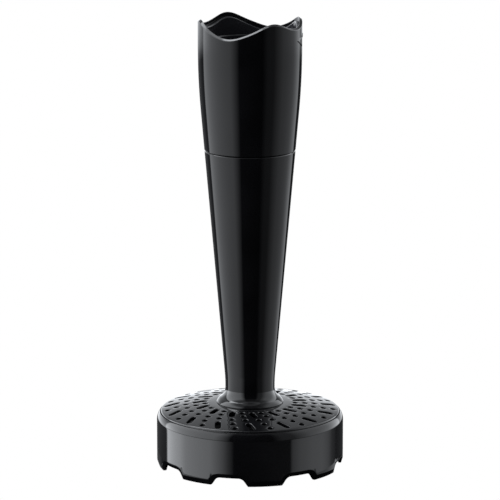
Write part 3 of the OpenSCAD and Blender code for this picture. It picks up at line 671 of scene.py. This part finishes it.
def index_mark():
    """Pad on a grid of azimuth and height whose outer face rises inside the arrow's outline: the
    least distance to the three sides of the arrow and of the bar behind it gives the height."""
    low, high = box_mm("index_mark")
    proud = 0.35
    azimuth = np.radians(np.linspace(86, 118, 96))[None, :]
    height = np.linspace(low[2] - 0.8, high[2] + 0.6, 72)[:, None]
    across = top_r * (azimuth - math.radians(102))
    up = height - (low[2] + high[2]) / 2

    def within(sides):
        """Distance inward from the nearest of the sides (nx, nz, reach)."""
        return np.min([reach - nx * across - nz * up for nx, nz, reach in sides], axis=0)

    arrow = within([(-0.215, 0.977, 0.8), (-0.452, -0.892, 3.16), (1, 0, 1.5)])
    bar = within([(-0.215, 0.977, 0.8), (0.215, -0.977, 0.6), (1, 0, 6.2), (-1, 0, -2.6)])
    depth = np.maximum(arrow, bar)
    rise = proud * np.clip(depth / 0.35 + 0.3, 0, 1)
    rise = rise * rise * (3 * proud - 2 * rise) / proud**2
    front = on_axis(top_r - 0.04 + rise, height, azimuth)
    back = on_axis(np.full_like(rise, top_r - 0.5), height, azimuth)
    points = np.concatenate([front, back[::-1]])
    rows, columns = points.shape[:2]
    quads = grid_quads(rows, columns, closed_rows=True, closed_columns=False)
    half = rows // 2
    row = np.arange(half - 1)
    ends = [np.stack([row * columns + c, (row + 1) * columns + c,
                      (rows - 2 - row) * columns + c, (rows - 1 - row) * columns + c], axis=-1)
            for c in (0, columns - 1)]
    return points, np.concatenate([quads, *ends])


piece_of("index_arrow", [index_mark()], "gearbox", "gloss_black", gloss, "index_mark")


# ---------- input coupling ----------
# Six-lobed driver on the gearbox's input shaft, moulded in dark glass-filled nylon. The motor's
# star drops over it.


def matt_plastic(name, dark, light, rough_low, rough_high, grain, depth_mm):
    """Moulded plastic with an even fine grain and faint clouds in its colour."""
    material, tree, shader, place = new_material(name)
    grain_value = noise_of(tree, place, grain, 3, 0.6)
    tree.links.new(ranged(tree, grain_value, rough_low, rough_high), shader.inputs["Roughness"])
    tinted(tree, noise_of(tree, place, 60, 4, 0.6), dark, light, shader)
    raised(tree, grain_value, depth_mm, 0.3, shader)
    return material


graphite = matt_plastic("graphite_plastic", (0.022, 0.022, 0.025), (0.034, 0.034, 0.038),
                        0.36, 0.52, 2200, 0.02)

coupling_low, coupling_high = box_mm("input_coupling")


def input_coupling():
    """Rings over the turn. The radius is the greater of the hub's and of six round lobes', as a
    smooth maximum; above the lobes' flat tops the hub goes on alone."""
    hub_r, lobe_at, lobe_r, lobe_drop, edge = 4.8, 5.8, 1.45, 1.0, 0.35
    turn = turn_of(240)
    off = (turn + math.pi / 6) % (math.pi / 3) - math.pi / 6
    inside = np.clip(lobe_r**2 - (lobe_at * np.sin(off)) ** 2, 0, None)
    lobe = np.where(inside > 0, lobe_at * np.cos(off) + np.sqrt(inside), 0)
    star = 0.5 * (lobe + hub_r + np.sqrt((lobe - hub_r) ** 2 + 0.15))
    star = np.maximum(hub_r, star - 0.02)
    flat = np.full_like(turn, hub_r)
    low, high = coupling_low[2], coupling_high[2]
    lobe_top = high - lobe_drop
    rows = [(0 * turn, low), (star - 1.2, low), (star - edge, low), (star - 0.1, low + 0.1),
            (star, low + edge), (star, low + edge + 0.3), (star, lobe_top - edge - 0.3),
            (star, lobe_top - edge), (star - 0.1, lobe_top - 0.1), (star - edge, lobe_top),
            (flat + 0.02, lobe_top),
            (flat, lobe_top + 0.05), (flat, high - edge), (flat - 0.1, high - 0.1), (flat - edge, high),
            (flat * 0.62, high), (flat * 0.56, high - 0.1), (flat * 0.5, high - 0.9), (0 * turn, high - 0.9)]
    points = np.stack([on_axis(r, z, turn)[0] for r, z in rows])
    return points, grid_quads(*points.shape[:2])


piece_of("input_star", [input_coupling()], "input", "graphite_plastic", graphite, "input_coupling")


# ---------- paddle ----------
# Slow-turning paddle under the sieve, moulded in grained dark plastic: a hub on the shaft's cross
# pin and two swept blades that press the food through the holes.

hub_low, hub_high = box_mm("paddle_hub")
hub_r = hub_high[0]


def paddle_hub():
    """Turned boss with rounded edges, a shallow dish below and the shaft's bore above."""
    low, high = hub_low[2], hub_high[2]
    corners = [(0.01, low + 0.8, 0), (hub_r - 3.4, low + 0.8, 0.3), (hub_r - 2.6, low, 0.3),
               (hub_r, low, 1.0), (hub_r, high, 0.5), (3.1, high, 0.2), (3.1, low + 4, 0.1),
               (0.01, low + 4, 0)]
    return turned(rounded(corners), 128)


def paddle_blade(side):
    """Blade on a grid of reach and of the way round its section. Its centre line turns by 38
    degrees from hub to tip, its top runs under the dome, and its end closes in an ellipse."""
    start, reach, sweep, gap = hub_r - 1.2, 42.5, math.radians(38), 0.7
    tip_r, tip_low = 43.5, 18.0
    t = np.linspace(0, 1, 64)[:, None]
    along = start + (reach - start) * np.sin(t * math.pi / 2) ** 0.9
    closing = np.sqrt(np.clip(1 - np.clip((along - reach + 1.6) / 1.6, 0, 1) ** 2, 0, 1))
    closing = closing * np.clip((along - start) / 0.5, 0, 1)
    dome = sieve_z(along) - sieve_t - gap
    top = np.where(along < flare_r + 1.3, hub_high[2],
                   np.where(along < flare_r + 2.8, hub_high[2] + (dome - hub_high[2])
                            * (along - flare_r - 1.3) / 1.5, dome))
    foot = hub_low[2] + (tip_low - hub_low[2]) * (along - hub_r) / (tip_r - hub_r)
    foot = np.maximum(foot, hub_low[2])
    around = np.radians(np.arange(0, 360, 15))[None, :]
    power = 0.35
    side_way = np.sign(np.cos(around)) * np.abs(np.cos(around)) ** power
    up_way = np.sign(np.sin(around)) * np.abs(np.sin(around)) ** power
    half = 1.3 * closing * (0.72 + 0.28 * (up_way + 1) / 2)
    middle, tall = (top + foot) / 2, (top - foot) / 2
    height = middle + tall * up_way * np.where(closing > 0.3, 1, 0.94 + 0.2 * closing)
    azimuth = sweep * (along - start) / (reach - start) + side * math.pi + side_way * half / along
    points = on_axis(along, height, azimuth)
    return points, grid_quads(*points.shape[:2])


piece_of("paddle_boss", [paddle_hub()], "paddle", "graphite_plastic", graphite, "paddle_hub")
piece_of("paddle_arms", [paddle_blade(0), paddle_blade(1)], "paddle", "graphite_plastic", graphite,
         "paddle_blades")


# ---------- parts sealed inside ----------
# Shafts, gears, carriers, bushes, seals and clips keep their own shapes and take the finish of
# what they are made of: stainless steel, oiled bronze, acetal, glass-filled nylon or silicone.

hardened = steel("hardened_steel", 0.24, 0.42, (1, 1, 0.2))
stamped = steel("stamped_steel", 0.3, 0.48, (1, 1, 1))


def oiled_bronze():
    """Sintered bronze: metal with open pores that hold oil."""
    material, tree, shader, place = new_material("oiled_bronze")
    shader.inputs["Metallic"].default_value = 1.0
    pores = noise_of(tree, place, 3200, 2, 0.7)
    tree.links.new(ranged(tree, pores, 0.5, 0.3), shader.inputs["Roughness"])
    tinted(tree, pores, (0.3, 0.19, 0.08), (0.62, 0.44, 0.21), shader)
    raised(tree, pores, 0.02, 0.4, shader)
    return material


def silicone():
    """Black silicone rubber with a dusty, slightly uneven skin."""
    material, tree, shader, place = new_material("black_silicone")
    skin = noise_of(tree, place, 700, 4, 0.6)
    tree.links.new(ranged(tree, skin, 0.6, 0.8), shader.inputs["Roughness"])
    tinted(tree, skin, (0.012, 0.012, 0.012), (0.03, 0.03, 0.03), shader)
    raised(tree, skin, 0.02, 0.3, shader)
    return material


acetal = matt_plastic("acetal", (0.72, 0.7, 0.62), (0.82, 0.8, 0.73), 0.3, 0.42, 1500, 0.008)
nylon = matt_plastic("glass_filled_nylon", (0.05, 0.05, 0.055), (0.1, 0.1, 0.11), 0.42, 0.62, 1800, 0.02)
sealed = [
    (hardened, ["drive_shaft", "cross_pin", "planet_pins_1", "planet_pins_2", "sun_1", "sun_2",
                "input_shaft"]),
    (stamped, ["seal_washer", "spider_clip", "shaft_clip", "input_clip", "thrust_washer", "carrier_1",
               "carrier_2", "plate_screws"]),
    (oiled_bronze(), ["lower_bush", "upper_bush", "output_bush", "input_bush", "output_socket"]),
    (acetal, ["planet_1a", "planet_1b", "planet_1c", "planet_2a", "planet_2b", "planet_2c"]),
    (nylon, ["bearing_spider", "ring_gear", "input_plate"]),
    (silicone(), ["lip_seal", "spigot_seal", "plate_gasket", "input_seal"]),
]
for finish, nodes in sealed:
    for node in nodes:
        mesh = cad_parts[node].data
        mesh.materials.clear()
        mesh.materials.append(finish)


# ---------- studio ----------
# White all round, and soft light cards seen only as reflections: a wide one to the left, a weaker
# one to the right and one behind, with black in front, and a low one round the skirt.

camera_azimuth = math.radians(25.5)
camera_height = math.radians(11.96)
camera_reach = 1.8
target = Vector((0, 0, 0.11246))
cool_white = (0.93, 0.96, 1, 1)


def ramp_of(tree, value, stops):
    """Brightness over a value from 0 to 1, from (place, brightness) stops."""
    ramp = tree.nodes.new("ShaderNodeValToRGB")
    elements = ramp.color_ramp.elements
    while len(elements) < len(stops):
        elements.new(0.5)
    for element, (place, bright) in zip(elements, stops):
        element.position = place
        element.color = (bright, bright, bright, 1)
    tree.links.new(value, ramp.inputs["Fac"])
    return ramp.outputs["Color"]


def round_ramp(tree, value, stops):
    """Brightness over a bearing, from (bearing in degrees, brightness) stops from -180 to 180."""
    return ramp_of(tree, value, [((angle + 180) / 360, bright) for angle, bright in stops])


def sums(tree, operation, *values):
    """Result of one arithmetic step on values or numbers."""
    node = tree.nodes.new("ShaderNodeMath")
    node.operation = operation
    for socket, value in zip(node.inputs, values):
        if isinstance(value, (int, float)):
            socket.default_value = value
        else:
            tree.links.new(value, socket)
    return node.outputs["Value"]


def bearing(tree, direction):
    """Bearing of a direction from the middle of the front, 0 to 1 for -180 to 180 degrees, and
    its upward part."""
    turn = tree.nodes.new("ShaderNodeVectorRotate")
    turn.rotation_type = "Z_AXIS"
    turn.inputs["Angle"].default_value = -camera_azimuth
    tree.links.new(direction, turn.inputs["Vector"])
    parts = tree.nodes.new("ShaderNodeSeparateXYZ")
    tree.links.new(turn.outputs["Vector"], parts.inputs["Vector"])
    forward = sums(tree, "MULTIPLY", parts.outputs["Y"], -1)
    angle = sums(tree, "ARCTAN2", parts.outputs["X"], forward)
    return sums(tree, "MULTIPLY_ADD", angle, 1 / (2 * math.pi), 0.5), parts.outputs["Z"]


# the low card: a band round the feet, bright to the left, which only the skirt reflects
sheen = bpy.data.materials.new("studio_sheen")
sheen.use_nodes = True
sheen_tree = sheen.node_tree
sheen_tree.nodes.remove(sheen_tree.nodes["Principled BSDF"])
glow = sheen_tree.nodes.new("ShaderNodeEmission")
glow.inputs["Color"].default_value = cool_white
sheen_value, _ = bearing(sheen_tree, sheen_tree.nodes.new("ShaderNodeTexCoord").outputs["Object"])
sheen_bright = round_ramp(sheen_tree, sheen_value, [
    (-180, 0.08), (-95.5, 0.08), (-92.5, 3.9), (-72, 3.9), (-63.6, 3.1), (-43, 2.75), (-36.6, 2.6),
    (-25, 1.25), (-19.6, 0.5), (-14, 0), (36.5, 0.06), (38.8, 0.6), (47, 0.98), (61, 1.15), (74, 1.0),
    (84, 0.6), (92, 0.2), (102, 0.05), (180, 0.05)])
sheen_tree.links.new(sheen_bright, glow.inputs["Strength"])
sheen_tree.links.new(glow.outputs["Emission"], sheen_tree.nodes["Material Output"].inputs["Surface"])
band_r, band_steps = 0.085, 120
band_heights = np.array([[-0.009], [0.0162]])
sheen_mesh = bpy.data.meshes.new("floor_sheen")
sheen_mesh.from_pydata(on_axis(band_r, band_heights, turn_of(band_steps)).reshape(-1, 3).tolist(), [],
                       grid_quads(2, band_steps).tolist())
sheen_mesh.materials.append(sheen)
floor_sheen = bpy.data.objects.new("floor_sheen", sheen_mesh)
bpy.context.scene.collection.objects.link(floor_sheen)
floor_sheen.visible_camera = floor_sheen.visible_diffuse = floor_sheen.visible_shadow = False
floor_sheen.visible_transmission = False
lit_by_sheen = bpy.data.collections.new("lit_by_floor_sheen")
lit_by_sheen.objects.link(bpy.data.objects["foot_ring_moulding"])
floor_sheen.light_linking.receiver_collection = lit_by_sheen

# the far cards: each is a brightness round the horizon times one over height, where 0.5 is level
world = bpy.data.worlds.new("studio")
world.use_nodes = True
tree = world.node_tree
tree.nodes.clear()
round_value, up_value = bearing(tree, tree.nodes.new("ShaderNodeTexCoord").outputs["Generated"])
height_value = sums(tree, "MULTIPLY_ADD", up_value, 0.5, 0.5)
sides = round_ramp(tree, round_value, [
    (-180, 0.1), (-150, 0.12), (-127, 0.02), (-124, 1.5), (-115, 1.5), (-80, 1.2), (-45, 0.9), (-24, 0),
    (28, 0), (40, 0.1), (55, 0.12), (66, 0.3), (80, 0.5), (113, 0.6), (130, 0.9), (141, 0.9), (144, 0),
    (180, 0.1)])
sides_up = ramp_of(tree, height_value, [
    (0.0, 0.0), (0.27, 0.0), (0.31, 1.0), (0.43, 1.0), (0.46, 2.3), (0.86, 2.3), (0.93, 0.5), (1, 0.2)])
behind = round_ramp(tree, round_value, [
    (-180, 1.3), (-130, 1.5), (-95, 0.2), (-60, 0), (70, 0), (110, 0.2), (140, 0.7), (180, 1.3)])
behind_up = ramp_of(tree, height_value, [
    (0.42, 0.0), (0.44, 1.6), (0.5, 1.3), (0.535, 1.05), (0.58, 0.95), (0.627, 0.5), (0.673, 0.37),
    (0.727, 0.27), (0.8, 0.27), (0.95, 0.12), (1, 0.1)])
spot = round_ramp(tree, round_value, [
    (-180, 0.6), (-170, 1.0), (-160, 6.0), (-120, 6.0), (-110, 0.1), (100, 0.1), (150, 0.4), (180, 0.6)])
spot_up = ramp_of(tree, height_value, [
    (0.86, 0.0), (0.89, 1.0), (0.955, 1.0), (0.965, 0.4), (1, 0.4)])
light = ramp_of(tree, height_value, [(0.965, 0.0), (0.975, 0.35), (1, 0.35)])
for around, upwards in ((sides, sides_up), (behind, behind_up), (spot, spot_up)):
    light = sums(tree, "ADD", sums(tree, "MULTIPLY", around, upwards), light)
cards = tree.nodes.new("ShaderNodeBackground")
cards.inputs["Color"].default_value = cool_white
tree.links.new(light, cards.inputs["Strength"])
white = tree.nodes.new("ShaderNodeBackground")
white.inputs["Color"].default_value = (1, 1, 1, 1)
seen = tree.nodes.new("ShaderNodeMixShader")
tree.links.new(tree.nodes.new("ShaderNodeLightPath").outputs["Is Camera Ray"], seen.inputs["Fac"])
tree.links.new(cards.outputs["Background"], seen.inputs[1])
tree.links.new(white.outputs["Background"], seen.inputs[2])
tree.links.new(seen.outputs["Shader"], tree.nodes.new("ShaderNodeOutputWorld").inputs["Surface"])
bpy.context.scene.world = world
bpy.context.scene.view_settings.view_transform = "Standard"

camera = bpy.data.objects.new("camera", bpy.data.cameras.new("camera"))
bpy.context.scene.collection.objects.link(camera)
towards = Vector((math.sin(camera_azimuth) * math.cos(camera_height),
                  -math.cos(camera_azimuth) * math.cos(camera_height), math.sin(camera_height)))
camera.location = target + towards * camera_reach
camera.rotation_euler = (-towards).to_track_quat("-Z", "Y").to_euler()
camera.data.lens, camera.data.sensor_width = 253.2, 36
bpy.context.scene.camera = camera
